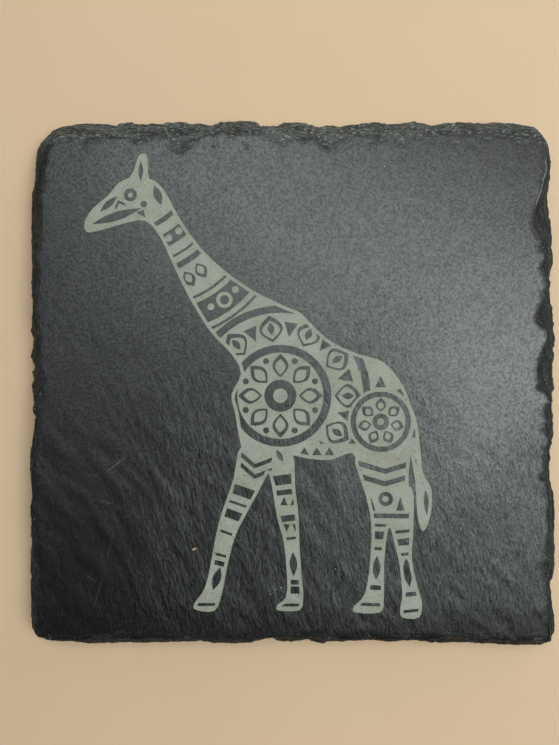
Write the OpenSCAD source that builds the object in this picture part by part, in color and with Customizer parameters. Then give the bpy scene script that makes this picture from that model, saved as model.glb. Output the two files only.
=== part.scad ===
// Engraved slate coaster: a square of riven slate with dressed edges, a laser-marked
// giraffe in its face, and four stick-on foam feet. Millimetres, +Z up. The origin is on
// the table under the middle of the tile, and +Y is the top of the picture.

/* [Tile] */
// Side of the square slate tile, over its dressed edges
tile_side = 100; // [90:1:120]
// Thickness of the slate
tile_t = 5; // [4:0.5:8]
// Width of the dressed edge along the back
dress_back = 3.3; // [0.5:0.1:4]
// Width of the dressed edge along the right
dress_right = 2.4; // [0.5:0.1:3]
// Width of the dressed edge along the front
dress_front = 2.1; // [0.5:0.1:3]
// Width of the dressed edge along the left
dress_left = 1.9; // [0.5:0.1:3]
// Radius of the back left corner
corner_back_left = 9; // [1:0.5:12]
// Radius of the back right corner
corner_back_right = 7; // [1:0.5:12]
// Radius of the front left corner
corner_front_left = 4.5; // [1:0.5:12]
// Radius of the front right corner
corner_front_right = 3; // [1:0.5:12]
// How far the hand-dressed outline strays from straight
wander = 0.3; // [0:0.05:0.5]

/* [Engraving] */
// Height of the figure as a share of the tile's side
figure_share = 0.86; // [0.7:0.01:0.87]
// Depth that the laser takes off the face
pocket_d = 0.12; // [0.08:0.02:0.3]
// Thickness of the fused, pale skin on the pocket's floor
mark_t = 0.06; // [0.04:0.01:0.08]
// Plain rim left round the figure's ornament
rim_w = 0.65; // [0.5:0.05:1]
// Radius of the laser's spot, which rounds every corner
spot_r = 0.06; // [0.04:0.01:0.1]

/* [Feet] */
// Diameter of a foam foot
pad_d = 11; // [8:0.5:14]
// Thickness of the foam
pad_t = 1.8; // [1:0.1:3]
// Thickness of the adhesive film between foam and slate
film_t = 0.2; // [0.1:0.05:0.3]
// Distance from the tile's edge to a foot's centre
pad_inset = 14; // [12:1:20]

/* [Hidden] */

half = tile_side / 2;
slate_z = pad_t + film_t;
face_z = slate_z + tile_t;
pad_reach = half - pad_inset;

// ---- slate ---------------------------------------------------------------------------

outline_points = 240;

// Three short cuts that round a corner: direction, distance from the middle, dressed width
function corner_cuts(diagonal, radius, dress) =
    [for (a = [diagonal - 30, diagonal, diagonal + 30])
        [a, (half - radius) * (abs(cos(a)) + abs(sin(a))) + radius, dress]];

// All the straight cuts that bound the tile
cuts = [
    [0, half, dress_right],
    [90, half, dress_back],
    [180, half, dress_left],
    [270, half, dress_front],
    each corner_cuts(45, corner_back_right, dress_right),
    each corner_cuts(135, corner_back_left, dress_back),
    each corner_cuts(225, corner_front_left, dress_front),
    each corner_cuts(315, corner_front_right, dress_front)
];

// Deeper flakes knocked out of the face along the edges: middle, width, depth
flakes = [
    [[half, 33.5], 9, 1.5],
    [[half, 12.9], 5, 1.1],
    [[half, 4.2], 7, 1.2],
    [[half, -17.9], 8, 1.1],
    [[half, -38], 6, 0.8],
    [[9, half], 7, 0.8],
    [[-27, -half], 5, 0.5],
    [[-half, -8], 6, 0.5]
];

// Rings of the blank, bottom to top: height, share of the dressed width, extra inset, phase
rings = [
    [0, 0, 0.5, 0],
    [0.25, 0, 0, 40],
    [0.62, 0.45, 0, 75],
    [1, 1, 0, 110]
];

function cut_reach(a, share) =
    min([for (c = cuts) let (lean = cos(a - c[0])) lean > 0.3 ? (c[1] - share * c[2]) / lean : tile_side]);

function stray(a, phase) =
    wander * (0.45 * sin(7 * a + phase) + 0.3 * sin(19 * a - 2 * phase) + 0.25 * sin(43 * a + 3 * phase));

function flake_depth(p) =
    max([for (f = flakes) f[2] * max(0, 1 - pow(2 * norm(p - f[0]) / f[1], 2))]);

function ring_point(a, ring) =
    let (dir = [cos(a), sin(a)],
         reach = cut_reach(a, ring[1]),
         rim = cut_reach(a, 0) * dir)
    (reach - ring[2] + stray(a, ring[3]) - ring[1] * flake_depth(rim)) * dir;

function raw_ring(ring) =
    [for (i = [0 : outline_points - 1]) ring_point(i * 360 / outline_points, ring)];

// The widest ring is fitted to the nominal square, and the others follow it
widest = raw_ring(rings[1]);
low = [min([for (p = widest) p[0]]), min([for (p = widest) p[1]])];
high = [max([for (p = widest) p[0]]), max([for (p = widest) p[1]])];
middle = (low + high) / 2;
function fitted(p) = [for (k = [0, 1]) (p[k] - middle[k]) * tile_side / (high[k] - low[k])];

module slate_blank() {
    n = outline_points;
    top = len(rings) - 1;
    walls = [for (ring = rings) for (p = raw_ring(ring)) [each fitted(p), ring[0] * tile_t]];
    ends = [[0, 0, 0], [0, 0, tile_t]];
    sides = [for (k = [0 : top - 1]) for (i = [0 : n - 1])
        let (j = (i + 1) % n, low_row = k * n, high_row = low_row + n)
        each [[low_row + i, high_row + i, high_row + j], [low_row + i, high_row + j, low_row + j]]];
    caps = [for (i = [0 : n - 1])
        let (j = (i + 1) % n, low_end = len(rings) * n, high_end = low_end + 1)
        each [[low_end, i, j], [high_end, top * n + j, top * n + i]]];
    polyhedron(concat(walls, ends), concat(sides, caps));
}

// ---- curves and ornament --------------------------------------------------------------

curve_steps = 3;

function pick(p, i) = p[(i + len(p)) % len(p)];

function catmull(a, b, c, d, t) =
    0.5 * (2 * b + (c - a) * t + (2 * a - 5 * b + 4 * c - d) * t * t + (3 * b - a - 3 * c + d) * t * t * t);

function closed_curve(p, n = curve_steps) =
    [for (i = [0 : len(p) - 1]) for (k = [0 : n - 1])
        catmull(pick(p, i - 1), pick(p, i), pick(p, i + 1), pick(p, i + 2), k / n)];

// A pointed leaf from the origin up +Y
module leaf(length, width, steps = 8) {
    side = [for (i = [0 : steps]) [width / 2 * sin(180 * i / steps), length * i / steps]];
    back = [for (i = [steps - 1 : -1 : 1]) [-side[i][0], side[i][1]]];
    polygon(concat(side, back));
}

// The outline of a leaf, drawn with a stroke of the given width
module leaf_line(length, width, stroke) {
    difference() {
        leaf(length, width);
        translate([0, stroke]) leaf(length - stroke * 2.8, width - 2 * stroke);
    }
}

module disc(radius) {
    circle(radius, $fn = radius > 2 ? 24 : 12);
}

module ring(r_out, r_in, sides = 24) {
    difference() {
        circle(r_out, $fn = sides);
        circle(r_in, $fn = sides);
    }
}

// A band across X whose two edges bow towards +Y
module arch(width, height, bow, steps = 3) {
    edge = [for (i = [-steps : steps]) [width / 2 * i / steps, bow * (1 - pow(i / steps, 2))]];
    upper = [for (p = edge) p + [0, height / 2]];
    lower = [for (i = [2 * steps : -1 : 0]) edge[i] - [0, height / 2]];
    polygon(concat(upper, lower));
}

module wedge(width, height) {
    polygon([[-width / 2, 0], [width / 2, 0], [0, height]]);
}

// An open V with its point towards +Y
module chevron(width, height, stroke) {
    polygon([[-width / 2, 0], [0, height], [width / 2, 0], [width / 2, -stroke], [0, height - stroke],
             [-width / 2, -stroke]]);
}

module around(count, radius, first = 0) {
    for (i = [0 : count - 1]) rotate(first + 360 * i / count) translate([0, radius]) children();
}

// The children sit on the line from a to b, at share t, with +Y pointing along it
module along(a, b, t) {
    translate(a + (b - a) * t) rotate(atan2(b[1] - a[1], b[0] - a[0]) - 90) children();
}

// Bars across a limb from a to b: the share along it and the height of each
module bars(a, b, marks, width = 8) {
    for (m = marks) along(a, b, m[0]) square([width, m[1]], center = true);
}

// ---- giraffe ---------------------------------------------------------------------------

trunk = [
    [-39.6, 29], [-40, 31], [-38.4, 33.6], [-35.4, 36.2], [-33.4, 38.6], [-30.6, 39.6],
    [-27, 39.2], [-24.6, 37], [-21.6, 31.6], [-17.6, 26], [-13, 21.6], [-7.6, 17.8],
    [-1.6, 14.8], [1.6, 13.4], [4.4, 10.6], [8, 7.6], [13, 5.4], [17.4, 4], [20.6, 0.6], [22.8, -4],
    [23.4, -9], [22.8, -14], [22.4, -19], [22.9, -24], [20, -27.6], [16.2, -27.4], [14.4, -22.5],
    [12.7, -17], [11.6, -13.6], [7.6, -14.9], [3.2, -14.7], [-0.6, -14.2], [-4.2, -17.6],
    [-7.9, -16], [-9.8, -12], [-10.9, -6], [-11.6, -2.4], [-9.8, 1.6], [-11.6, 5.4], [-15.6, 9.6],
    [-19.6, 16], [-22.6, 22], [-25.4, 28], [-28.4, 31.2], [-32.6, 30.6], [-36.6, 29.4]
];

front_leg_near = [
    [-9.5, -12], [-11.2, -18.5], [-13.6, -25.5], [-14.6, -29.5], [-15.2, -33], [-16.6, -39.2],
    [-18.6, -42.2], [-18.4, -43.5], [-14.8, -43.7], [-13.4, -40.5], [-12.3, -35],
    [-10.8, -29.4], [-8.6, -25], [-5.6, -19.4], [-3.5, -14]
];

front_leg_far = [
    [-5, -14], [-3.9, -19.5], [-2.8, -26], [-1.5, -31], [-0.9, -38], [-1.2, -41.2], [-2.8, -42.6],
    [-2.6, -43.6], [1.5, -43.6], [2.2, -41], [2, -38.5], [1.5, -32], [1.3, -26], [0.6, -19.5], [0, -13.5]
];

hind_leg_near = [
    [12.2, -14], [14.2, -21.8], [15.2, -27], [15, -34], [14, -40.3], [11.9, -42.8],
    [12.1, -44], [16.8, -44], [17.6, -41.5], [17.7, -34.5], [18.5, -28], [21, -20]
];

hind_leg_far = [
    [18.4, -24], [19.2, -29], [20.5, -34.5], [21.1, -40.5], [20.7, -43.2], [21.1, -45],
    [24.3, -45], [24.9, -42.3], [24.2, -39.5], [23, -34], [23.3, -27.5], [22.9, -20]
];

tail = [
    [21.4, -2], [23.9, -7], [24.7, -13], [25.2, -17.4], [26.8, -20.6], [26.6, -25.4],
    [25.1, -28.6], [24, -25.2], [23.7, -19.4], [22.8, -14], [21.8, -8]
];

horn = [[-32, 38], [-30.6, 40.8], [-29.6, 43.9], [-28, 43.9], [-27.8, 40.8], [-27.8, 38]];

// The figure is drawn this high, from its hooves to its horns, and scaled to its share of the tile
drawn_h = 88.9;
art_scale = figure_share * tile_side / drawn_h;

module giraffe() {
    for (p = [trunk, front_leg_near, front_leg_far, hind_leg_near, hind_leg_far, tail, horn])
        polygon(closed_curve(p));
}

shoulder = [-2.2, -2.6];
shoulder_r = 9.8;
collar_r = shoulder_r + 7.6;
rump = [17.1, -7.6];
rump_r = 5.8;
neck_top = [-26.6, 34.4];
neck_foot = [-8.6, 9];

module shoulder_rosette() {
    translate(shoulder) {
        ring(3.1, 1.4);
        around(8, 3.5) leaf_line(4.6, 3.1, 0.55);
        around(8, 7.2, 22.5) disc(0.6);
        ring(shoulder_r, shoulder_r - 1.5, 40);
    }
}

// Leaves and an outer collar round the shoulder, which stop at the rump, the legs and the neck
module flank_petals() {
    difference() {
        translate(shoulder) {
            around(11, shoulder_r + 0.6, 8) leaf_line(5.2, 4.6, 0.55);
            around(11, shoulder_r + 2, 8) leaf(2.4, 1.3);
            around(11, shoulder_r + 4.4, 8 + 180 / 11) rotate(180) wedge(2.6, 2.8);
            ring(collar_r, collar_r - 1.4, 48);
        }
        translate(rump) disc(rump_r + 0.6);
        along(neck_top, neck_foot, 0) translate([-20, 0]) square([40, 26.4]);
        translate([rump[0], -30]) square([20, 40]);
        translate([-14, -30]) square([30, 18.2]);
        translate([-14, -16]) square([6.4, 12]);
    }
}

module rump_rosette() {
    translate(rump) {
        ring(1.6, 0.7, 16);
        around(7, 1.9) leaf_line(2.7, 2.1, 0.45);
        ring(rump_r, rump_r - 1, 32);
    }
    difference() {
        translate(rump) around(10, rump_r + 0.8) wedge(2.2, 2.2);
        translate(shoulder) disc(collar_r + 0.5);
        translate([10, -30]) square([20, 17.6]);
    }
}

module neck_bands() {
    along(neck_top, neck_foot, 0.06) arch(16, 0.9, 1.6);
    along(neck_top, neck_foot, 0.18) difference() {
        arch(16, 2.6, 1.6);
        for (x = [-0.9, 1.5]) translate([x, 1.4]) disc(0.7);
    }
    along(neck_top, neck_foot, 0.29) arch(16, 0.45, 1.6);
    along(neck_top, neck_foot, 0.355) arch(16, 1.1, 1.6);
    along(neck_top, neck_foot, 0.4) for (x = [0, 2.8]) translate([x, 1.6]) leaf_line(3.4, 2.4, 0.5);
    along(neck_top, neck_foot, 0.58) arch(16, 0.5, 1.6);
    along(neck_top, neck_foot, 0.69) difference() {
        arch(16, 4.4, 1.6);
        translate([-0.4, 1.5]) ring(1.6, 0.9, 16);
        for (x = [-3.3, 2.5]) translate([x, 1.1]) disc(0.7);
    }
    along(neck_top, neck_foot, 0.8) arch(18, 0.5, 1.6);
}

module head_details() {
    translate([-31.2, 36.2]) ring(1.25, 0.5, 16);
    translate([-39, 30.4]) rotate(-72) translate([0, 0.4]) leaf(10, 1.7);
    translate([-33.2, 34.2]) rotate(20) chevron(2, 1, 0.55);
    translate([-37, 33]) rotate(-48) leaf(4.4, 1.2);
    translate([-29.2, 38.8]) leaf(4, 0.9);
    translate([-26.6, 38]) rotate(-160) leaf(4, 1.6);
    translate([-28.6, 34.4]) disc(0.65);
    translate([-29.2, 32.3]) rotate(-30) wedge(2, 1.2);
}

module front_leg_details() {
    for (y = [-14.8, -16.8]) translate([-6.9, y]) rotate(170) chevron(6, 1.8, 0.9);
    bars([-6.6, -13.5], [-13, -31.5], [[0.42, 1.9], [0.55, 0.5], [0.67, 1.7], [0.86, 0.5]]);
    bars([-13.4, -33], [-15.6, -41.5], [[0.02, 0.5], [0.2, 0.9]]);
    along([-13.7, -35.4], [-15.8, -42], 0) leaf(4.6, 1.6);
    bars([-15.8, -42.5], [-15.8, -43], [[0, 0.55]]);

    translate([-1.7, -15.2]) rotate(30) leaf(2.6, 1);
    bars([-1.9, -15.5], [0, -31.5], [[0.2, 1.9], [0.35, 1], [0.66, 1.2], [0.9, 0.5]]);
    for (x = [-1.5, 0.4]) translate([x, -23.6]) wedge(1.5, 1.6);
    for (x = [-1, 0.7]) translate([x, -27.2]) rotate(180) wedge(1.3, 1.5);
    along([0.2, -32.5], [0.5, -41], 0) leaf(4.6, 1.5);
    bars([0.4, -38], [0.4, -43], [[0.05, 0.9], [0.35, 1.4], [0.92, 0.55]]);
}

module hind_leg_details() {
    for (y = [-15.8, -18.2]) translate([17.9, y]) rotate(180) chevron(12, 1.8, 1);
    translate([18, -22.4]) ring(1.4, 0.6, 16);
    for (x = [15.2, 20.8]) translate([x, -24.6]) wedge(1.6, 2.6);
    bars([18.4, -25.6], [18.3, -33], [[0, 0.9]]);

    bars([16.7, -27.4], [16.4, -33], [[0, 0.5], [0.34, 1.5], [0.8, 0.6]], 3.4);
    along([16.3, -33.2], [15.9, -42], 0) leaf(4.6, 1.5);
    bars([16.3, -34], [15.8, -42.8], [[0.6, 0.9], [0.97, 0.6]]);

    bars([21.1, -27.6], [22.9, -44.2], [[0.06, 0.6], [0.18, 1.3], [0.32, 0.6]], 4.4);
    along([21.8, -33.6], [22.8, -41.5], 0) leaf(5.6, 1.7);
    bars([21.1, -27.6], [22.9, -44.2], [[0.78, 0.8], [0.97, 0.55]]);
    translate([25.6, -20.6]) rotate(184) leaf(5, 1);
}

module belly_details() {
    for (x = [2.4, 4.8, 7.2]) translate([x, -14]) wedge(1.9, 1.5);
}

module ornament() {
    shoulder_rosette();
    flank_petals();
    rump_rosette();
    neck_bands();
    head_details();
    front_leg_details();
    hind_leg_details();
    belly_details();
}

module mark_outline() {
    offset(delta = spot_r) offset(delta = -spot_r) scale(art_scale) difference() {
        giraffe();
        intersection() {
            offset(delta = -rim_w / art_scale) giraffe();
            ornament();
        }
    }
}

// ---- sub-parts -------------------------------------------------------------------------

module slate_tile() {
    color("#4a4d4b") difference() {
        translate([0, 0, slate_z]) slate_blank();
        translate([0, 0, face_z - pocket_d]) linear_extrude(2 * pocket_d) mark_outline();
    }
}

module laser_mark() {
    color("#a3a698") translate([0, 0, face_z - pocket_d]) linear_extrude(mark_t) mark_outline();
}

module foot_pad(x_side, y_side) {
    color("#1b1b1c") translate([x_side * pad_reach, y_side * pad_reach, 0])
        cylinder(h = pad_t, d = pad_d, $fn = 64);
}

module pad_adhesive(x_side, y_side) {
    color("#d8d4c4") translate([x_side * pad_reach, y_side * pad_reach, pad_t])
        cylinder(h = film_t, d = pad_d, $fn = 64);
}

slate_tile();
laser_mark();
foot_pad(-1, -1);  // foot_pad_front_left
foot_pad(1, -1);  // foot_pad_front_right
foot_pad(-1, 1);  // foot_pad_back_left
foot_pad(1, 1);  // foot_pad_back_right
pad_adhesive(-1, -1);  // pad_adhesive_front_left
pad_adhesive(1, -1);  // pad_adhesive_front_right
pad_adhesive(-1, 1);  // pad_adhesive_back_left
pad_adhesive(1, 1);  // pad_adhesive_back_right
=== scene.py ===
"""Looks of the engraved slate coaster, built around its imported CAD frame.

The outline of the tile, its heights and the figure's edges are read from the CAD meshes.
Lengths here are in millimetres until a mesh is made.
"""

import math

import bpy
import numpy as np
from mathutils import Matrix, Vector
from mathutils.geometry import delaunay_2d_cdt


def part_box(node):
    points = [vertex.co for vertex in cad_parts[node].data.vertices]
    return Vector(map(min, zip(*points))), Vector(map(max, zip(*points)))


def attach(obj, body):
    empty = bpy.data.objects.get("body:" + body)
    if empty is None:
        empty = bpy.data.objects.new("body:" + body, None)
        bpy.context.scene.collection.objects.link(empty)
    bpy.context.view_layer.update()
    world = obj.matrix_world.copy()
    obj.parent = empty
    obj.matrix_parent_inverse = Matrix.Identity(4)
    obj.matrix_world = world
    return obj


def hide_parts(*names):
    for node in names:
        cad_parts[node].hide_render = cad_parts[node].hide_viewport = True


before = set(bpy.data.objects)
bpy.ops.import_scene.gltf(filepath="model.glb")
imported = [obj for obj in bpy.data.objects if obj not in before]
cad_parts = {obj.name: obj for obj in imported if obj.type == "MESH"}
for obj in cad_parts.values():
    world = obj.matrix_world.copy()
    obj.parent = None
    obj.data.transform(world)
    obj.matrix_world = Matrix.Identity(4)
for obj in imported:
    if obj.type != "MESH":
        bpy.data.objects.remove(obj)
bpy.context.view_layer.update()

MM = 0.001
SIDES = ("front_left", "front_right", "back_left", "back_right")

# The slate's face
FACE_STEP = 0.45          # spacing of the face's points
FACE_JITTER = 0.13        # how far each point strays from its grid
RIM_GAP = 0.22            # points this near an edge line are left out
RIM_DROP = 0.12           # how far the face's rim is worn down
FRONT_FALL = 0.38         # how far the face slopes down towards the front edge
FIGURE_STEP = 0.5         # longest step along the figure's outline
UNDER_STEP = 1.4          # spacing of the underside's points
UNDER_JITTER = 0.4        # how far each of them strays from its grid
UNDER_GAP = 0.8           # points this near the underside's rim are left out
UNDER_RELIEF = 0.6        # relief of the underside, as a share of the face's
POCKET_WEAR = 0.012       # unevenness of the engraved pocket's floor
SUGAR = 0.008             # unevenness of the mark's own skin

# The dressed edge
EDGE_STEP = 0.26          # spacing of the columns round the tile
FLAKES = 170
CHIPS = 650               # the smallest scars, which make the outline jagged
# Big scars on the dressed edge: where the middle is, half length, half height, depth
BITES = (
    ((50.0, 33.5, 7.3), 6.2, 2.1, 1.6),
    ((50.0, 12.5, 7.1), 1.8, 1.6, 1.0),
    ((50.0, 1.5, 6.9), 3.2, 2.0, 0.8),
    ((2.5, 50.0, 6.9), 3.0, 2.0, 1.3),
    ((-21.5, 50.0, 7.1), 3.8, 1.6, 1.1),
    ((-4.0, 50.0, 3.4), 2.4, 1.5, 0.9),
    ((-50.0, 30.0, 6.8), 4.6, 2.2, 0.8),
    ((-50.0, -8.0, 4.4), 5.2, 2.4, 0.7),
)
# Where the bedding planes cut the edge, from the face to the underside
LAYER_SHARES = (0.0, 0.05, 0.11, 0.18, 0.27, 0.38, 0.5, 0.63, 0.76, 0.88, 1.0)
# How far the edge stands out before its scars cut it back, and what each side adds to that
SPREAD = 0.42
SPREAD_RIGHT, SPREAD_BACK, SPREAD_FRONT, SPREAD_FRONT_LEFT = 0.28, 0.2, -0.5, -1.0
COARSE_NICKS, FINE_NICKS = 0.24, 0.18     # how far noise cuts each bedding layer back
LAYER_TOP_IN, LAYER_FOOT_OUT = 0.04, 0.03   # how each layer leans
LAYER_TILT = 0.07         # how far the bedding planes rise and fall along the edge


# ---- noise --------------------------------------------------------------------------------------

def lattice_angle(ix, iy, seed):
    """A repeatable direction for each lattice point."""
    n = (ix * 374761393 + iy * 668265263 + seed * 974634777) & 0xFFFFFFFF
    n = ((n ^ (n >> 13)) * 1274126177) & 0xFFFFFFFF
    return ((n ^ (n >> 16)) & 0xFFFF) * (2 * math.pi / 65536)


def noise(x, y, seed):
    """Smooth gradient noise, from about -1 to 1."""
    ix, iy = np.floor(x).astype(np.int64), np.floor(y).astype(np.int64)
    fx, fy = x - ix, y - iy
    u = fx * fx * fx * (fx * (fx * 6 - 15) + 10)
    v = fy * fy * fy * (fy * (fy * 6 - 15) + 10)

    def corner(dx, dy):
        a = lattice_angle(ix + dx, iy + dy, seed)
        return np.cos(a) * (fx - dx) + np.sin(a) * (fy - dy)

    low = corner(0, 0) * (1 - u) + corner(1, 0) * u
    high = corner(0, 1) * (1 - u) + corner(1, 1) * u
    return 1.5 * (low * (1 - v) + high * v)


def layered_noise(x, y, seed, octaves=3):
    """Several octaves of noise, each twice as fine and half as strong."""
    total = np.zeros_like(x)
    for k in range(octaves):
        total += 0.5 ** k * noise(x * 2 ** k + 17.3 * k, y * 2 ** k - 9.1 * k, seed + k)
    return total


def smooth(low, high, value):
    """0 below low, 1 above high, and a smooth rise between them."""
    t = np.clip((value - low) / (high - low), 0, 1)
    return t * t * (3 - 2 * t)


# ---- what the CAD meshes say --------------------------------------------------------------------

def cad_mesh(node):
    """Points in millimetres and triangles of a CAD node, with doubled points merged."""
    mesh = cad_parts[node].data
    mesh.calc_loop_triangles()
    points = np.zeros(len(mesh.vertices) * 3)
    mesh.vertices.foreach_get("co", points)
    points = points.reshape(-1, 3) / MM
    triangles = np.zeros(len(mesh.loop_triangles) * 3, np.int64)
    mesh.loop_triangles.foreach_get("vertices", triangles)
    _, first, merged = np.unique(np.round(points * 1e4).astype(np.int64), axis=0,
                                 return_index=True, return_inverse=True)
    return points[first], merged.ravel()[triangles].reshape(-1, 3)


def directed_edges(triangles):
    """Every triangle's three edges, as pairs of points in its own order."""
    return np.concatenate([triangles[:, [0, 1]], triangles[:, [1, 2]], triangles[:, [2, 0]]])


def border_edges(triangles):
    """The directed edges that only one triangle has."""
    edges = directed_edges(triangles)
    _, inverse, count = np.unique(np.sort(edges, axis=1), axis=0,
                                  return_inverse=True, return_counts=True)
    return edges[count[inverse.ravel()] == 1]


def level_loops(node, level):
    """The border loops of a node's flat face at that height, as XY points, biggest first."""
    points, triangles = cad_mesh(node)
    flat = triangles[(np.abs(points[triangles][:, :, 2] - level) < 1e-3).all(axis=1)]
    following = {int(a): int(b) for a, b in border_edges(flat)}
    loops = []
    while following:
        start, at = following.popitem()
        loop = [start]
        while at != start:
            loop.append(at)
            at = following.pop(at)
        loops.append(points[loop][:, :2])
    return sorted(loops, key=lambda loop: -np.ptp(loop, axis=0).max())


def polar_reach(ring, angles):
    """Distance from the middle to a star-shaped ring of XY points, in each direction."""
    ring_angles = np.arctan2(ring[:, 1], ring[:, 0])
    return np.interp(angles, ring_angles, np.hypot(ring[:, 0], ring[:, 1]), period=2 * math.pi)


slate_low, slate_high = (np.array(corner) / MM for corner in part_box("slate_tile"))
mark_low, mark_high = (np.array(corner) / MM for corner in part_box("laser_mark"))
BASE_Z, FACE_Z = slate_low[2], slate_high[2]
THICK = FACE_Z - BASE_Z
HALF = slate_high[0]
POCKET_DEPTH = FACE_Z - mark_low[2]
SKIN = mark_high[2] - mark_low[2]

face_loops = level_loops("slate_tile", FACE_Z)
face_ring, mark_loops = face_loops[0], face_loops[1:]
slate_points, _ = cad_mesh("slate_tile")
ring_levels = sorted(z for z in set(np.round(slate_points[:, 2], 2)) if z < mark_low[2] - 0.1)
lower_rings = [slate_points[np.abs(slate_points[:, 2] - z) < 0.01][:, :2] for z in ring_levels]


# ---- relief -------------------------------------------------------------------------------------

GRAIN_ANGLE = math.radians(-76)   # direction that the riven grain runs in


def grain_axes(x, y):
    """Distance across and along the riven grain, whose direction wanders."""
    bend = 3.2 * noise(x / 30, y / 30, 3) + 0.8 * noise(x / 9, y / 9, 4)
    along = x * math.cos(GRAIN_ANGLE) + y * math.sin(GRAIN_ANGLE)
    across = y * math.cos(GRAIN_ANGLE) - x * math.sin(GRAIN_ANGLE)
    return across + bend, along


def streakiness(x, y):
    """Share of streaky grain: most at the front, and less towards the back and both sides."""
    drift = -0.75 * y / HALF - 0.25 * smooth(-22, -44, x) - 0.2 * smooth(18, 40, x)
    return smooth(-0.35, 0.75, drift + 0.15 + 0.45 * noise(x / 24, y / 24, 5))


def riven_relief(x, y, seed):
    """Height of a riven face above its mean level."""
    across, along = grain_axes(x, y)
    streaky = streakiness(x, y)
    swell = 0.08 * noise(x / 34, y / 34, seed) + 0.03 * noise(x / 13, y / 13, seed + 1)
    streaks = (0.007 + 0.02 * streaky) * layered_noise(across / 1.1, along / 3, seed + 2)
    slanted = across / 3.6 - along / 9
    drifts = 0.066 * smooth(20, -25, y) * layered_noise(slanted, along / 9, seed + 20, 2)
    pebbles = 0.0065 * layered_noise(x / 1.5, y / 1.5, seed + 8, 2)
    bedding = 2.4 * noise(x / 26, y / 26, seed + 12) + 0.5 * layered_noise(x / 7, y / 7, seed + 13, 4)
    ledge = 0.018 * smooth(0.0, 0.12, bedding - 0.9) - 0.02 * smooth(0.0, 0.12, -0.8 - bedding)
    return swell + streaks + drifts + pebbles + ledge


def shallow_spalls(x, y, inset):
    """Depth of the thin flakes lost near the dressed edge. inset is the distance in from it."""
    reach = np.where(y > np.abs(x) * 0.95, 3.6, 1.5)
    loose = layered_noise(x / 4.5, y / 3.2, 41, 3) + 0.9 * (1 - inset / reach)
    near = 1 - smooth(0.75 * reach, 1.5 * reach, inset)
    return near * (0.07 * smooth(0.55, 0.63, loose) + 0.06 * smooth(0.95, 1.02, loose))


# ---- mesh helpers -------------------------------------------------------------------------------

def make_object(name, points, faces, material, sharp_angle):
    """A mesh object from millimetre points, on the root body, with its steeper edges left sharp."""
    mesh = bpy.data.meshes.new(name)
    mesh.from_pydata((np.asarray(points) * MM).tolist(), [], faces)
    mesh.validate()
    mesh.materials.append(material)
    mesh.shade_smooth()
    mesh.set_sharp_from_angle(angle=math.radians(sharp_angle))
    obj = bpy.data.objects.new(name, mesh)
    bpy.context.scene.collection.objects.link(obj)
    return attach(obj, "root")


def add_attribute(obj, name, values):
    """Stores one number for each point, for the material to read."""
    attribute = obj.data.attributes.new(name, "FLOAT", "POINT")
    attribute.data.foreach_set("value", np.asarray(values, np.float32))


def inside(loops, points):
    """Whether each XY point is inside the loops, by the even-odd rule."""
    start = np.concatenate(loops)
    end = np.concatenate([np.roll(loop, -1, axis=0) for loop in loops])
    result = np.zeros(len(points), bool)
    run = end[:, 0] - start[:, 0]
    rise = np.where(end[:, 1] == start[:, 1], 1e-12, end[:, 1] - start[:, 1])
    for first in range(0, len(points), 2000):
        x, y = points[first:first + 2000, 0, None], points[first:first + 2000, 1, None]
        spans = (start[:, 1] > y) != (end[:, 1] > y)
        hits = spans & (x < start[:, 0] + (y - start[:, 1]) * run / rise)
        result[first:first + 2000] = hits.sum(axis=1) % 2 == 1
    return result


def subdivided(loop, step):
    """The loop with points no further apart than step."""
    parts = []
    for a, b in zip(loop, np.roll(loop, -1, axis=0)):
        count = max(1, math.ceil(np.hypot(*(b - a)) / step))
        parts += [a + (b - a) * k / count for k in range(count)]
    return np.array(parts)


def scattered(step, jitter, loops, gap, seed):
    """A jittered grid of points inside the first loop, clear of all the loops' lines."""
    rng = np.random.default_rng(seed)
    axis = np.arange(-HALF, HALF + step, step)
    x, y = np.meshgrid(axis, axis)
    grid = np.stack([x.ravel(), y.ravel()], axis=1) + rng.uniform(-jitter, jitter, (x.size, 2))
    angles = np.arctan2(grid[:, 1], grid[:, 0])
    grid = grid[np.hypot(grid[:, 0], grid[:, 1]) < polar_reach(loops[0], angles) - gap]
    near = set()
    for px, py in np.concatenate([subdivided(loop, gap * 0.7) for loop in loops]):
        near.add((round(px / gap), round(py / gap)))
    cells = np.round(grid / gap).astype(int)
    clear = [not any((cx + dx, cy + dy) in near for dx in (0, 1, -1) for dy in (0, 1, -1))
             for cx, cy in cells]
    return grid[np.array(clear)]


def triangulated(loops, extra):
    """Points and counter-clockwise triangles that fill the first loop and follow all of them."""
    points = np.concatenate([*loops, extra])
    edges, base = [], 0
    for loop in loops:
        edges += [(base + k, base + (k + 1) % len(loop)) for k in range(len(loop))]
        base += len(loop)
    found = delaunay_2d_cdt([Vector(p) for p in points], edges, [], 0, 1e-7, False)
    placed = np.array([tuple(p) for p in found[0]])
    triangles = np.array([tuple(f) for f in found[2]])
    rim = len(loops[0])
    outer = (triangles < rim).all(axis=1)
    keep = np.ones(len(triangles), bool)
    keep[outer] = inside(loops[:1], placed[triangles[outer]].mean(axis=1))
    return placed, triangles[keep]


# ---- the slate ----------------------------------------------------------------------------------

def edge_columns():
    """Directions of the columns round the tile, evenly spaced along its outline."""
    widest = lower_rings[1]
    outline = subdivided(widest[np.argsort(np.arctan2(widest[:, 1], widest[:, 0]))], 0.1)
    lengths = np.concatenate([[0], np.cumsum(np.hypot(*np.diff(outline, axis=0).T))])
    count = round(lengths[-1] / EDGE_STEP)
    even = np.linspace(0, lengths[-1], count, endpoint=False)
    x, y = (np.interp(even, lengths, outline[:, k]) for k in (0, 1))
    return np.arctan2(y, x)


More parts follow.
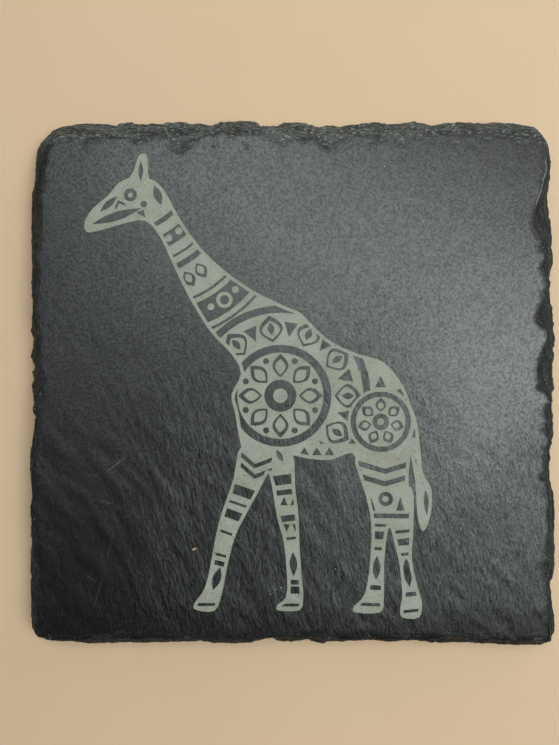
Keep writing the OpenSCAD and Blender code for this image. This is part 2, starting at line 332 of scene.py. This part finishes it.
def edge_scars():
    """Scars that the shears left round the edge: direction, height, half length, half height, depth."""
    rng = np.random.default_rng(5)
    scars = [(math.atan2(y, x), z, *size) for (x, y, z), *size in BITES]
    for _ in range(FLAKES):
        half_length = rng.uniform(1.0, 1.8) ** 2.4
        scars.append((rng.uniform(-math.pi, math.pi), BASE_Z + THICK * rng.uniform(-0.1, 1.12),
                      half_length, min(THICK * 0.5, half_length * rng.uniform(0.35, 0.8)),
                      half_length * rng.uniform(0.1, 0.19)))
    for _ in range(CHIPS):
        half_length = rng.uniform(0.3, 0.95)
        scars.append((rng.uniform(-math.pi, math.pi), BASE_Z + THICK * rng.uniform(0.0, 1.05),
                      half_length, half_length * rng.uniform(0.5, 1.1),
                      half_length * rng.uniform(0.2, 0.5)))
    return scars


def edge_spread(cos, sin):
    """How far the edge stands out of the CAD outline in each direction, before it is scarred."""
    right, back, front, left = (smooth(0.6, 0.9, way) for way in (cos, sin, -sin, -cos))
    front_left = left * smooth(0.45, 0.7, -sin)
    return (SPREAD + SPREAD_RIGHT * right + SPREAD_BACK * back + SPREAD_FRONT * front
            + SPREAD_FRONT_LEFT * front_left)


def edge_rows(angles):
    """Rows of points down the dressed edge, from the face's rim to the underside's."""
    heights = np.array([*ring_levels, FACE_Z])
    reaches = np.array([polar_reach(ring, angles) for ring in [*lower_rings, face_ring]])
    cos, sin = np.cos(angles), np.sin(angles)
    ox, oy = reaches[1] * cos, reaches[1] * sin
    scars = edge_scars()
    spread = edge_spread(cos, sin)

    def reach_at(z):
        above = np.clip(np.searchsorted(heights, z), 1, len(heights) - 1)
        share = (z - heights[above - 1]) / (heights[above] - heights[above - 1])
        return reaches[above - 1] * (1 - share) + reaches[above] * share

    rows = []
    planes = [FACE_Z - THICK * share for share in LAYER_SHARES]
    for k in range(len(planes) - 1):
        top, bottom = planes[k], planes[k + 1]
        ragged = (spread - COARSE_NICKS * np.abs(noise(ox / 2.3, oy / 2.3, 70 + k // 3))
                  - FINE_NICKS * np.abs(noise(ox / 0.9, oy / 0.9, 80 + k)))
        for z, lean in ((top, -LAYER_TOP_IN), (bottom, LAYER_FOOT_OUT)):
            tilt = LAYER_TILT * noise(ox / 6, oy / 6, 90 + k) if 0 < k else 0.0
            # A layer follows the CAD outline partly at its own middle, so that the layers step
            reach = reach_at(z * 0.65 + (top + bottom) * 0.175) + ragged + lean
            for at, height, half_length, half_height, depth in scars:
                run = (np.mod(angles - at + math.pi, 2 * math.pi) - math.pi) * reaches[1]
                hollow = 1 - (run / half_length) ** 2 - ((z - height) / half_height) ** 2
                reach = reach - depth * np.sqrt(np.clip(hollow, 0, None))
            rows.append(np.column_stack([reach * cos, reach * sin, np.full_like(cos, z) + tilt]))
    return rows


def face_relief(x, y, inset, spall):
    """Height of the finished face above its CAD level. inset is the distance in from the rim."""
    relief = riven_relief(x, y, 100) * smooth(0, 1.5, inset + 0.6) - spall
    relief -= RIM_DROP * (1 - smooth(0, 0.7, inset))
    relief -= FRONT_FALL * smooth(-41, -50, y)
    return relief


def engraved_triangles(flat, triangles):
    """Which of the face's triangles are inside the engraved figure."""
    middle = flat[triangles].mean(axis=1)
    boxed = np.all((middle > mark_low[:2] - 0.1) & (middle < mark_high[:2] + 0.1), axis=1)
    engraved = np.zeros(len(triangles), bool)
    engraved[boxed] = inside(mark_loops, middle[boxed])
    return engraved


def shared_border(triangles, chosen):
    """Directed edges of the triangles not chosen that meet a chosen one."""
    width = int(triangles.max()) + 1
    ours, theirs = directed_edges(triangles[~chosen]), directed_edges(triangles[chosen])
    reverse = theirs[:, 1] * width + theirs[:, 0]
    return ours[np.isin(ours[:, 0] * width + ours[:, 1], reverse)].tolist()


def edge_faces(columns, first, steps):
    """Quads down the dressed edge, from the face's rim to the last row, and that row's points.

    The rim is the first of all the points. The rows below it are numbered from first on.
    """
    quads, upper = [], np.arange(columns)
    for step in range(steps):
        lower = first + step * columns + np.arange(columns)
        quads += np.column_stack([upper, lower, np.roll(lower, -1), np.roll(upper, -1)]).tolist()
        upper = lower
    return quads, upper


def underside(last_row):
    """Points inside the underside's rim, and triangles that count the rim's own points first."""
    rim = last_row[:, :2]
    flat, triangles = triangulated([rim], scattered(UNDER_STEP, UNDER_JITTER, [rim], UNDER_GAP, 9))
    x, y = flat[len(rim):].T
    points = np.column_stack([x, y, BASE_Z + UNDER_RELIEF * riven_relief(x, y, 300)])
    return points, triangles[:, ::-1]


def painted_rim_highlight_shares(rim):
    """1 on the stretch of the right rim that gets a painted highlight, a pale line standing in for the
    light its worn arris reflects.
    """
    x, y = rim.T
    return smooth(40, 45, x) * smooth(30, 34, y) * (1 - smooth(41, 44, y))


def build_slate(material):
    """The whole stone: face with its engraved pocket, dressed edge and underside, one closed mesh."""
    rows = edge_rows(edge_columns())
    rim = rows[0][:, :2]
    columns = len(rim)
    loops = [rim, *(subdivided(loop, FIGURE_STEP) for loop in mark_loops)]
    flat, triangles = triangulated(loops, scattered(FACE_STEP, FACE_JITTER, loops, RIM_GAP, 7))
    engraved = engraved_triangles(flat, triangles)

    x, y = flat.T
    inset = polar_reach(rim, np.arctan2(y, x)) - np.hypot(x, y)
    spall = shallow_spalls(x, y, inset)
    face = np.column_stack([x, y, FACE_Z + face_relief(x, y, inset, spall)])
    pocket_depth = POCKET_DEPTH + POCKET_WEAR * noise(x / 0.9, y / 0.9, 33)
    pocket = face - [0, 0, 1] * pocket_depth[:, None]

    # The pocket's points follow the face's, then come the edge's rows and the underside
    count, below = len(face), rows[1:]
    faces = triangles[~engraved].tolist() + (triangles[engraved] + count).tolist()
    faces += [(b, a, a + count, b + count) for a, b in shared_border(triangles, engraved)]
    edge, last = edge_faces(columns, 2 * count, len(below))
    under, under_triangles = underside(rows[-1])
    base = 2 * count + len(below) * columns
    numbered = np.concatenate([last, base + np.arange(len(under))])
    faces += edge + numbered[under_triangles].tolist()
    points = np.concatenate([face, pocket, *below, under])

    worn = np.clip((1 - smooth(0, 0.4, inset)) + spall * 6, 0, 1)
    dressed = np.concatenate([worn, worn, np.ones(len(below) * columns), np.zeros(len(under))])
    # A painted highlight along part of the right rim
    painted_rim_highlight = np.zeros(len(points))
    painted_rim_highlight[:columns] = painted_rim_highlight_shares(rim)

    # The face's points inside the figure and the pocket's outside it belong to no triangle
    used = np.isin(np.arange(len(points)),
                   np.concatenate([triangles[~engraved], triangles[engraved] + count]))
    used[2 * count:] = True
    order = np.cumsum(used) - 1
    faces = [[int(order[corner]) for corner in corners] for corners in faces]
    slate = make_object("slate_tile_riven", points[used], faces, material, sharp_angle=50)
    add_attribute(slate, "dressed", dressed[used])
    add_attribute(slate, "painted_rim_highlight", painted_rim_highlight[used])
    add_attribute(slate, "streaky", streakiness(*points[used][:, :2].T))
    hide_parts("slate_tile")
    return pocket, triangles[engraved]


def build_mark(pocket, triangles, material):
    """The pale skin on the pocket's floor: a thin closed mesh of the figure."""
    used = np.unique(triangles)
    order = np.zeros(len(pocket), np.int64)
    order[used] = np.arange(len(used))
    local = order[triangles]
    x, y, z = pocket[used].T
    top = np.column_stack([x, y, z + SKIN + SUGAR * noise(x / 0.5, y / 0.5, 51)])
    bottom = pocket[used]
    count = len(used)
    border = border_edges(local)
    faces = local.tolist() + (local[:, ::-1] + count).tolist()
    faces += [(int(b), int(a), int(a) + count, int(b) + count) for a, b in border]
    mark = make_object("laser_mark_skin", np.concatenate([top, bottom]), faces, material,
                       sharp_angle=50)
    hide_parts("laser_mark")


# ---- feet ---------------------------------------------------------------------------------------

FOOT_SIDES = 96
FOAM_EASE = 0.28          # rounding of the foam's lower rim
FOAM_WAIST = 0.06         # how far the die-cut side is drawn in
FOAM_SHOULDER = 0.12      # height of the bevel at the foam's upper rim
SHOULDER_FOOT, SHOULDER_HEAD = 0.05, 0.11   # how far that bevel's ends are drawn in
FILM_IN, FILM_UP = 0.03, 0.05     # bevel of the film's rims
FOAM_WOBBLE, FILM_WOBBLE = 0.004, 0.002   # unevenness of the outlines, as a share of the radius


def lathed(profile, centre, wobble, seed):
    """Points and faces of a closed disc turned from (radius, height) pairs, bottom to top."""
    turn = np.arange(FOOT_SIDES) * 2 * math.pi / FOOT_SIDES
    cos, sin = np.cos(turn), np.sin(turn)
    rings = []
    for radius, z in profile:
        rough = 1 + wobble * noise(3 * cos + z, 3 * sin, seed) * (radius > 1)
        rings.append(np.column_stack([centre[0] + radius * rough * cos, centre[1] + radius * rough * sin,
                                      np.full(FOOT_SIDES, z)]))
    points = np.concatenate([*rings, [[*centre, profile[0][1]], [*centre, profile[-1][1]]]])
    k = np.arange(FOOT_SIDES)
    following = (k + 1) % FOOT_SIDES
    faces = []
    for r in range(len(profile) - 1):
        low, high = r * FOOT_SIDES, (r + 1) * FOOT_SIDES
        faces += np.column_stack([low + k, low + following, high + following, high + k]).tolist()
    last = (len(profile) - 1) * FOOT_SIDES
    bottom_end, top_end = len(points) - 2, len(points) - 1
    faces += [(int(b), int(a), bottom_end) for a, b in zip(k, following)]
    faces += [(int(a) + last, int(b) + last, top_end) for a, b in zip(k, following)]
    return points, faces


def foam_profile(radius, low, high):
    """The foam foot's outline: flat below, a rounded rim, a drawn-in side and a flat top."""
    arc = [math.radians(a) for a in (0, 30, 60, 90)]
    profile = [(radius * share, low) for share in (0.3, 0.6, 0.85)]
    profile += [(radius - FOAM_EASE * (1 - math.sin(a)), low + FOAM_EASE * (1 - math.cos(a)))
                for a in arc]
    profile += [(radius - FOAM_WAIST, low + (high - low) * share) for share in (0.4, 0.6)]
    profile += [(radius - SHOULDER_FOOT, high - FOAM_SHOULDER), (radius - SHOULDER_HEAD, high)]
    return profile + [(radius * share, high) for share in (0.85, 0.5)]


def film_profile(radius, low, high):
    """The adhesive film's outline, the same at its top and bottom."""
    half = [(radius * 0.5, 0), (radius * 0.9, 0), (radius - FILM_IN, 0), (radius, FILM_UP)]
    return [(r, low + rise) for r, rise in half] + [(r, high - rise) for r, rise in reversed(half)]


def build_disc(name, box, outline, wobble, seed, material):
    """A turned disc that fills a CAD node's box, with the outline that a function gives for its size."""
    low, high = (np.array(corner) / MM for corner in box)
    centre, radius = (low + high)[:2] / 2, (high - low)[0] / 2
    points, faces = lathed(outline(radius, low[2], high[2]), centre, wobble, seed)
    return make_object(name, points, faces, material, sharp_angle=40)


def build_foot(side, foam, film):
    """One foam foot and the adhesive film above it."""
    pad = build_disc("foot_foam_" + side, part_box("foot_pad_" + side), foam_profile,
                     FOAM_WOBBLE, 21, foam)
    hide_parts("foot_pad_" + side)
    disc = build_disc("adhesive_film_" + side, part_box("pad_adhesive_" + side), film_profile,
                      FILM_WOBBLE, 23, film)
    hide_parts("pad_adhesive_" + side)


# ---- materials ----------------------------------------------------------------------------------

class Shader:
    """One material's node tree. Values may be numbers, colours or sockets."""

    def __init__(self, name):
        self.material = bpy.data.materials.new(name)
        self.material.use_nodes = True
        self.tree = self.material.node_tree
        self.principled = self.tree.nodes["Principled BSDF"]
        self.place = self.node("ShaderNodeTexCoord").outputs["Object"]

    def node(self, kind, inputs=(), **settings):
        """A new node with those settings, and its inputs fed."""
        made = self.tree.nodes.new(kind)
        for key, value in settings.items():
            setattr(made, key, value)
        for key, value in dict(inputs).items():
            self.feed(made.inputs[key], value)
        return made

    def feed(self, socket, value):
        """Links a socket to another, or sets it to a plain value."""
        if isinstance(value, bpy.types.NodeSocket):
            self.tree.links.new(value, socket)
        else:
            socket.default_value = value

    def surface(self, **inputs):
        """Feeds the shader's own sockets, named with underscores for spaces, and gives the material."""
        for key, value in inputs.items():
            self.feed(self.principled.inputs[key.replace("_", " ")], value)
        return self.material

    def attribute(self, name):
        """A number that add_attribute stored on the mesh."""
        return self.node("ShaderNodeAttribute", attribute_name=name).outputs["Fac"]

    def stretched(self, turn=0.0, scale=(1, 1, 1), vector=None):
        """Texture space turned about Z, then scaled along each axis, in units of a millimetre."""
        turned = self.node("ShaderNodeVectorRotate", {"Vector": vector or self.place, "Angle": turn},
                           rotation_type="Z_AXIS").outputs[0]
        factors = tuple(s / MM for s in scale)
        return self.node("ShaderNodeVectorMath", {0: turned, 1: factors}, operation="MULTIPLY").outputs[0]

    def noise(self, vector, size, detail, rough):
        """Fractal noise whose coarsest cells are about that size."""
        return self.node("ShaderNodeTexNoise", {"Vector": vector, "Scale": 1 / size, "Detail": detail,
                                                "Roughness": rough}).outputs["Fac"]

    def math(self, operation, a, b):
        return self.node("ShaderNodeMath", {0: a, 1: b}, operation=operation).outputs[0]

    def ramp(self, value, low, high):
        """0 below low, 1 above high, smooth between."""
        return self.node("ShaderNodeMapRange", {"Value": value, "From Min": low, "From Max": high},
                         interpolation_type="SMOOTHSTEP").outputs["Result"]

    def mix(self, factor, a, b):
        """Colour a where the factor is 0, and b where it is 1."""
        made = self.node("ShaderNodeMix", data_type="RGBA")
        for key, value in ((0, factor), (6, a), (7, b)):
            self.feed(made.inputs[key], (*value, 1) if isinstance(value, tuple) else value)
        return made.outputs[2]

    def specks(self, spacing, radius, share):
        """1 on small dots, one at most in each cell of a jittered grid, in that share of the cells."""
        cells = self.node("ShaderNodeTexVoronoi", {"Vector": self.stretched(), "Scale": 1 / spacing})
        near = self.ramp(cells.outputs["Distance"], radius / spacing * 1.6, radius / spacing * 0.6)
        lot = self.node("ShaderNodeSeparateColor", {0: cells.outputs["Color"]}).outputs[0]
        return self.math("MULTIPLY", near, self.math("LESS_THAN", lot, share))

    def stroke(self, start, end, half_width):
        """1 along a line on the face, fading out over its half width. Ends in millimetres."""
        middle = [(a + b) / 2 * MM for a, b in zip(start, end)] + [FACE_Z * MM]
        turn = math.atan2(end[1] - start[1], end[0] - start[0])
        half_length = math.dist(start, end) / 2
        moved = self.node("ShaderNodeVectorMath", {0: self.place, 1: middle},
                          operation="SUBTRACT").outputs[0]
        local = self.stretched(-turn, (1 / half_length, 1 / half_width, 1 / MARK_REACH), moved)
        distance = self.node("ShaderNodeVectorMath", {0: local}, operation="LENGTH").outputs["Value"]
        return self.ramp(distance, 1.0, 0.4)

    def bump(self, height, distance, strength=1.0, normal=None):
        """A normal tilted by a height field that is distance millimetres deep, over another normal."""
        inputs = {"Height": height, "Distance": distance * MM, "Strength": strength}
        if normal is not None:
            inputs["Normal"] = normal
        return self.node("ShaderNodeBump", inputs).outputs[0]


# The slate's colours: the grain's hollows and crests, what lies on the face, and the dressed edge,
# whose bedding layers and dust are paler than the rest of it, with painted light on its back and
# right sides and painted glints among the dust
# Hollow and crest colours: partly the grain's own tone, partly painted shade in the hollows and painted
# sheen on the crests
HOLLOW_PAINTED_SHADE, CREST_PAINTED_SHEEN = (0.001, 0.0011, 0.001), (0.0092, 0.0101, 0.0094)
PATCH = (0.012, 0.0125, 0.0105)
SPECK = (0.16, 0.16, 0.15)
FLECK, FLECK_SHADOW = (0.75, 0.48, 0.22), (0.03, 0.016, 0.008)
# The dressed edge and its layers: their own dark colours, and lit versions painted for the back and right
# sides
EDGE_DARK, EDGE_PAINTED_LIT = (0.0095, 0.0106, 0.0102), (0.036, 0.0395, 0.0375)
LAYER_DARK, LAYER_PAINTED_LIT = (0.02, 0.0223, 0.0219), (0.095, 0.102, 0.097)
# Pale flecks of the dressed edge: partly dust, partly painted glints where ledges catch the light
DUST_AND_GLINTS = (0.34, 0.35, 0.33)
# Painted highlight: a pale bluish line on the right rim, standing in for the light that its worn arris
# reflects
PAINTED_RIM_HIGHLIGHT = (0.2, 0.22, 0.23)

# Colours of the mark, the feet and the floor
MARK_DIM, MARK_BRIGHT = (0.345, 0.35, 0.287), (0.42, 0.425, 0.365)
DARK_GRAIN, BRIGHT_GRAIN, PIT = (0.17, 0.17, 0.14), (0.56, 0.56, 0.5), (0.05, 0.05, 0.043)
FOAM_WALL, FOAM_CELL = (0.034, 0.034, 0.035), (0.012, 0.012, 0.013)
FILM_DIM, FILM_BRIGHT = (0.62, 0.59, 0.48), (0.72, 0.7, 0.6)
PAPER_DIM, PAPER_BRIGHT = (0.79, 0.57, 0.375), (0.83, 0.605, 0.4)

# Below a roughness of about 0.275 the denoiser takes the face for a mirror and draws squiggles on it
FACE_ROUGHNESS = 0.282
HOLLOW_ROUGHNESS = 0.1    # what the grain's hollows add
DRESSED_ROUGHNESS = 0.2   # what the dressed edge adds
DRESSED_DULLNESS = 0.7    # how much of its shine the dressed edge loses
FULL_SHINE = 0.55         # specular level where nothing dulls it

GRAIN_BEND = 2.8          # how far the grain's texture is drawn out of line
MARK_REACH = 1.5          # a mark on the face fades out this far below it

# Marks on the face: ends in millimetres, half width, tone
SCRATCHES = (
    ((-34.9, -17.0), (-30.2, -13.4), 0.13, (0.13, 0.13, 0.122)),
    ((-38.6, -17.6), (-35.0, -16.9), 0.1, (0.06, 0.06, 0.057)),
    ((-36.6, -21.6), (-32.6, -22.8), 0.12, (0.07, 0.07, 0.066)),
    ((-33.6, -24.9), (-31.4, -22.6), 0.08, (0.06, 0.06, 0.057)),
    ((-33.2, -28.0), (-34.6, -34.5), 0.15, (0.045, 0.045, 0.043)),
    ((-34.6, -34.5), (-37.2, -43.5), 0.14, (0.04, 0.04, 0.038)),
    ((-38.4, -35.5), (-36.0, -37.2), 0.13, (0.06, 0.06, 0.057)),
    ((2.4, -25.4), (4.4, -26.1), 0.07, (0.07, 0.07, 0.066)),
    ((-4.2, -39.2), (-3.8, -39.1), 0.13, (0.36, 0.36, 0.34)),
    ((-3.2, -38.4), (-2.9, -38.3), 0.11, (0.36, 0.36, 0.34)),
    ((-2.3, -38.1), (-1.7, -37.9), 0.1, (0.3, 0.3, 0.28)),
    ((7.9, -34.6), (8.15, -34.5), 0.13, (0.5, 0.5, 0.47)),
    ((17.2, 40.3), (17.5, 40.4), 0.14, (0.45, 0.45, 0.43)),
    ((24.5, 30.0), (24.7, 30.2), 0.11, (0.36, 0.36, 0.34)),
    ((23.4, 20.4), (25.2, 17.9), 0.11, (0.0, 0.0, 0.0)),
    ((30.8, 9.6), (31.6, 7.4), 0.1, (0.0, 0.0, 0.0)),
)
FLECK_ENDS = ((-18.6, -31.1), (-17.5, -30.7))


def slate_grain(s, streaky):
    """The bent space that the grain lies in, its streaks and pebbles, and both blended to crests of 1."""
    bend = s.node("ShaderNodeTexNoise", {"Vector": s.stretched(), "Scale": 1 / 14, "Detail": 2.0})
    reach = (GRAIN_BEND * MM, GRAIN_BEND * MM, 0.0)
    bent = s.node("ShaderNodeVectorMath", {0: bend.outputs["Color"], 1: reach, 2: s.place},
                  operation="MULTIPLY_ADD").outputs[0]
    streaks = s.noise(s.stretched(-GRAIN_ANGLE, (0.36, 1.5, 1), bent), 0.4, 4.0, 0.7)
    pebbles = s.noise(s.stretched(0, (1, 1, 1), bent), 0.4, 4.0, 0.72)
    share = s.math("MULTIPLY", streaky, 0.75)
    grain = s.math("ADD", s.math("MULTIPLY", streaks, share),
                   s.math("MULTIPLY", pebbles, s.math("SUBTRACT", 1.0, share)))
    return bent, streaks, pebbles, s.ramp(grain, 0.36, 0.62)


def face_tone(s, crests):
    """Colour of the riven face, with its patches, specks, scratches and orange fleck, painted sheen on the
    grain's crests and painted shade in its hollows.
    """
    patches = s.noise(s.stretched(), 22, 3.0, 0.5)
    # Painted sheen on the grain's crests and painted shade in its hollows, over the grain's own tone
    tone = s.mix(crests, HOLLOW_PAINTED_SHADE, CREST_PAINTED_SHEEN)
    tone = s.mix(s.math("MULTIPLY", s.ramp(patches, 0.45, 0.8), 0.35), tone, PATCH)
    tone = s.mix(s.math("MULTIPLY", s.specks(3.1, 0.07, 0.55), 0.7), tone, SPECK)
    for start, end, half_width, shade in SCRATCHES:
        tone = s.mix(s.math("MULTIPLY", s.stroke(start, end, half_width), 0.8), tone, shade)
    tone = s.mix(s.math("MULTIPLY", s.stroke(*FLECK_ENDS, 0.5), 0.6), tone, FLECK_SHADOW)
    return s.mix(s.stroke(*FLECK_ENDS, 0.2), tone, FLECK)


def edge_tone(s, tone, dressed):
    """The tone with the dressed edge laid over it. The edge is painted palest at the back and a little
    paler at the right, as painted light on the sides that face the lights.
    """
    x, y, _ = s.node("ShaderNodeSeparateXYZ", {0: s.place}).outputs
    back = s.ramp(y, 41 * MM, 47 * MM)
    right = s.ramp(x, 42 * MM, 48 * MM)
    # Painted light: the back, and a little of the right, get the edge's lit colours
    painted_lit_sides = s.math("MAXIMUM", back, s.math("MULTIPLY", right, 0.3))
    tone = s.mix(s.math("MULTIPLY", dressed, 0.9), tone, s.mix(painted_lit_sides, EDGE_DARK, EDGE_PAINTED_LIT))
    layers = s.noise(s.stretched(0, (0.16, 0.16, 2.6)), 1.0, 4.0, 0.62)
    tone = s.mix(s.math("MULTIPLY", s.ramp(layers, 0.47, 0.6), dressed), tone,
                 s.mix(painted_lit_sides, LAYER_DARK, LAYER_PAINTED_LIT))
    # Pale flecks on the edge: partly dust, partly painted glints, more of them at the back where painted
    # light falls
    dust_glint_noise = s.noise(s.stretched(0, (0.6, 1.1, 1.6)), 0.45, 4.0, 0.72)
    dust_and_glints = s.ramp(dust_glint_noise, s.math("SUBTRACT", 0.63, s.math("MULTIPLY", back, 0.12)), 0.68)
    tone = s.mix(s.math("MULTIPLY", dust_and_glints, dressed), tone, DUST_AND_GLINTS)
    # Painted highlight along part of the right rim
    return s.mix(s.ramp(s.attribute("painted_rim_highlight"), 0.55, 0.95), tone, PAINTED_RIM_HIGHLIGHT)


def slate_roughness(s, pebbles, dressed):
    """Roughness, least on the crests of the riven face."""
    hollows = s.math("MULTIPLY", s.ramp(pebbles, 0.62, 0.36), HOLLOW_ROUGHNESS)
    face = s.math("ADD", hollows, FACE_ROUGHNESS)
    return s.math("ADD", face, s.math("MULTIPLY", dressed, DRESSED_ROUGHNESS))


def slate_shine(s, crests, streaky, dressed):
    """Specular level, low in the grain's hollows and on the dressed edge."""
    depth = s.math("ADD", s.math("MULTIPLY", streaky, 0.35), 0.42)
    shine = s.math("SUBTRACT", 1.18, s.math("MULTIPLY", depth, s.math("SUBTRACT", 1.0, crests)))
    kept = s.math("SUBTRACT", 1.0, s.math("MULTIPLY", dressed, DRESSED_DULLNESS))
    return s.math("MULTIPLY", s.math("MULTIPLY", shine, kept), FULL_SHINE)


def slate_normal(s, bent, streaks, pebbles, streaky, dressed):
    """Fine relief: pebbles everywhere, ridges and streaks where the grain is streaky, chips on the edge."""
    normal = s.bump(pebbles, 0.04)
    ridges = s.noise(s.stretched(-GRAIN_ANGLE, (0.3, 1.5, 1), bent), 1.1, 2.0, 0.5)
    normal = s.bump(ridges, 0.07, streaky, normal)
    strength = s.math("ADD", s.math("MULTIPLY", streaky, 0.9), 0.1)
    normal = s.bump(streaks, 0.07, strength, normal)
    chips = s.noise(s.stretched(0, (1, 1, 1)), 0.35, 4.0, 0.65)
    return s.bump(s.math("MULTIPLY", chips, dressed), 0.16, 1.0, normal)


def slate_material():
    s = Shader("riven_slate")
    dressed, streaky = s.attribute("dressed"), s.attribute("streaky")
    bent, streaks, pebbles, crests = slate_grain(s, streaky)
    return s.surface(Base_Color=edge_tone(s, face_tone(s, crests), dressed),
                     Roughness=slate_roughness(s, pebbles, dressed),
                     Normal=slate_normal(s, bent, streaks, pebbles, streaky, dressed), IOR=1.62,
                     Specular_IOR_Level=slate_shine(s, crests, streaky, dressed))


def mark_material():
    """Fused slate: a pale sugary skin with darker grains, bright grains and pits."""
    s = Shader("laser_fused_slate")
    sugar = s.noise(s.stretched(), 0.22, 3.0, 0.65)
    cloud = s.noise(s.stretched(), 5.0, 3.0, 0.55)
    tone = s.mix(s.ramp(cloud, 0.3, 0.7), MARK_DIM, MARK_BRIGHT)
    tone = s.mix(s.math("MULTIPLY", s.ramp(sugar, 0.55, 0.3), 0.5), tone, DARK_GRAIN)
    tone = s.mix(s.math("MULTIPLY", s.ramp(sugar, 0.56, 0.72), 0.5), tone, BRIGHT_GRAIN)
    pits = s.ramp(s.noise(s.stretched(), 0.5, 2.0, 0.4), 0.32, 0.25)
    tone = s.mix(s.math("MULTIPLY", pits, 0.7), tone, PIT)
    return s.surface(Base_Color=tone, Roughness=0.85, Normal=s.bump(sugar, 0.06, 0.8), IOR=1.45)


def foam_material():
    """Black foam with fine open cells."""
    s = Shader("foam")
    cells = s.node("ShaderNodeTexVoronoi", {"Vector": s.stretched(), "Scale": 1 / 0.22},
                   feature="DISTANCE_TO_EDGE").outputs["Distance"]
    tone = s.mix(s.ramp(cells, 0.02, 0.25), FOAM_WALL, FOAM_CELL)
    return s.surface(Base_Color=tone, Roughness=0.82, Normal=s.bump(cells, 0.08, 0.7))


def film_material():
    """Hazy, slightly see-through adhesive."""
    s = Shader("adhesive")
    haze = s.noise(s.stretched(), 1.2, 3.0, 0.5)
    tone = s.mix(haze, FILM_DIM, FILM_BRIGHT)
    roughness = s.math("ADD", s.math("MULTIPLY", haze, 0.2), 0.2)
    return s.surface(Base_Color=tone, Roughness=roughness, Transmission_Weight=0.35,
                     Normal=s.bump(haze, 0.02, 0.4))


def floor_material():
    s = Shader("floor_paper")
    cloud = s.noise(s.stretched(), 30, 3.0, 0.5)
    return s.surface(Base_Color=s.mix(cloud, PAPER_DIM, PAPER_BRIGHT), Roughness=0.9)


# ---- camera, floor and light --------------------------------------------------------------------

VIEW_TALL = 138.605       # how much of the face's plane the view takes in from top to bottom
CAMERA_RISE = 122.0       # from the face to the lens
CAMERA_TILT = math.radians(1.0)
AIM = Vector((-2.3, 1.8, FACE_Z))

FLOOR_HALF = 1500
ZENITH, HORIZON = 0.025, 0.75     # brightness of the backdrop
DAYLIGHT, WARM_LIGHT = (0.935, 1.0, 0.972), (1.0, 0.98, 0.95)
# Soft lights: name, place, size, power in watts, colour
LIGHTS = (
    ("window", (68, 103, 400), (530, 168), 1.075, DAYLIGHT),
    ("fill", (-140, 20, 400), (130, 200), 0.075, DAYLIGHT),
    ("lamp", (215, -70, 400), (270, 204), 0.6, DAYLIGHT),
    ("room", (360, 420, 260), (300, 300), 0.5, WARM_LIGHT),
)


def add_camera():
    data = bpy.data.cameras.new("camera")
    data.sensor_width = 36.0
    data.lens = data.sensor_width * CAMERA_RISE / VIEW_TALL
    data.clip_start = 5 * MM
    camera = bpy.data.objects.new("camera", data)
    bpy.context.scene.collection.objects.link(camera)
    back = Vector((0, -math.sin(CAMERA_TILT), math.cos(CAMERA_TILT)))
    camera.location = (AIM + back * CAMERA_RISE) * MM
    side = Vector((1, 0, 0))
    camera.rotation_euler = Matrix((side, back.cross(side), back)).transposed().to_euler()
    bpy.context.scene.camera = camera


def add_area_light(name, place, size, power, colour):
    """A rectangular soft light at a place in millimetres, facing the tile."""
    data = bpy.data.lights.new(name, "AREA")
    data.shape = "RECTANGLE"
    data.size, data.size_y = (s * MM for s in size)
    data.energy = power
    data.color = colour
    light = bpy.data.objects.new(name, data)
    light.location = Vector(place) * MM
    light.rotation_euler = (-Vector(place)).to_track_quat("-Z", "Y").to_euler()
    bpy.context.scene.collection.objects.link(light)


def add_floor():
    mesh = bpy.data.meshes.new("floor")
    edge = FLOOR_HALF * MM
    corners = [(-edge, -edge, 0), (edge, -edge, 0), (edge, edge, 0), (-edge, edge, 0)]
    mesh.from_pydata(corners, [], [(0, 1, 2, 3)])
    mesh.materials.append(floor_material())
    floor = bpy.data.objects.new("floor", mesh)
    bpy.context.scene.collection.objects.link(floor)


def add_world(zenith, horizon):
    """A plain studio backdrop, pale round the horizon and dim overhead, where the lights are."""
    world = bpy.data.worlds.new("world")
    world.use_nodes = True
    nodes, links = world.node_tree.nodes, world.node_tree.links
    place = nodes.new("ShaderNodeTexCoord")
    height = nodes.new("ShaderNodeSeparateXYZ")
    rise = nodes.new("ShaderNodeMapRange")
    rise.interpolation_type = "SMOOTHSTEP"
    for name, value in (("From Min", 0.05), ("From Max", 0.5), ("To Min", horizon), ("To Max", zenith)):
        rise.inputs[name].default_value = value
    links.new(place.outputs["Generated"], height.inputs[0])
    links.new(height.outputs["Z"], rise.inputs["Value"])
    background = nodes["Background"]
    background.inputs["Color"].default_value = (0.97, 0.98, 1.0, 1)
    links.new(rise.outputs["Result"], background.inputs["Strength"])
    bpy.context.scene.world = world


# ---- the scene ----------------------------------------------------------------------------------

add_camera()
add_floor()
add_world(ZENITH, HORIZON)
for light in LIGHTS:
    add_area_light(*light)
bpy.context.scene.view_settings.view_transform = "Standard"
bpy.context.scene.view_settings.look = "None"

pocket, engraved = build_slate(slate_material())
build_mark(pocket, engraved, mark_material())
foam, film = foam_material(), film_material()
for side in SIDES:
    build_foot(side, foam, film)
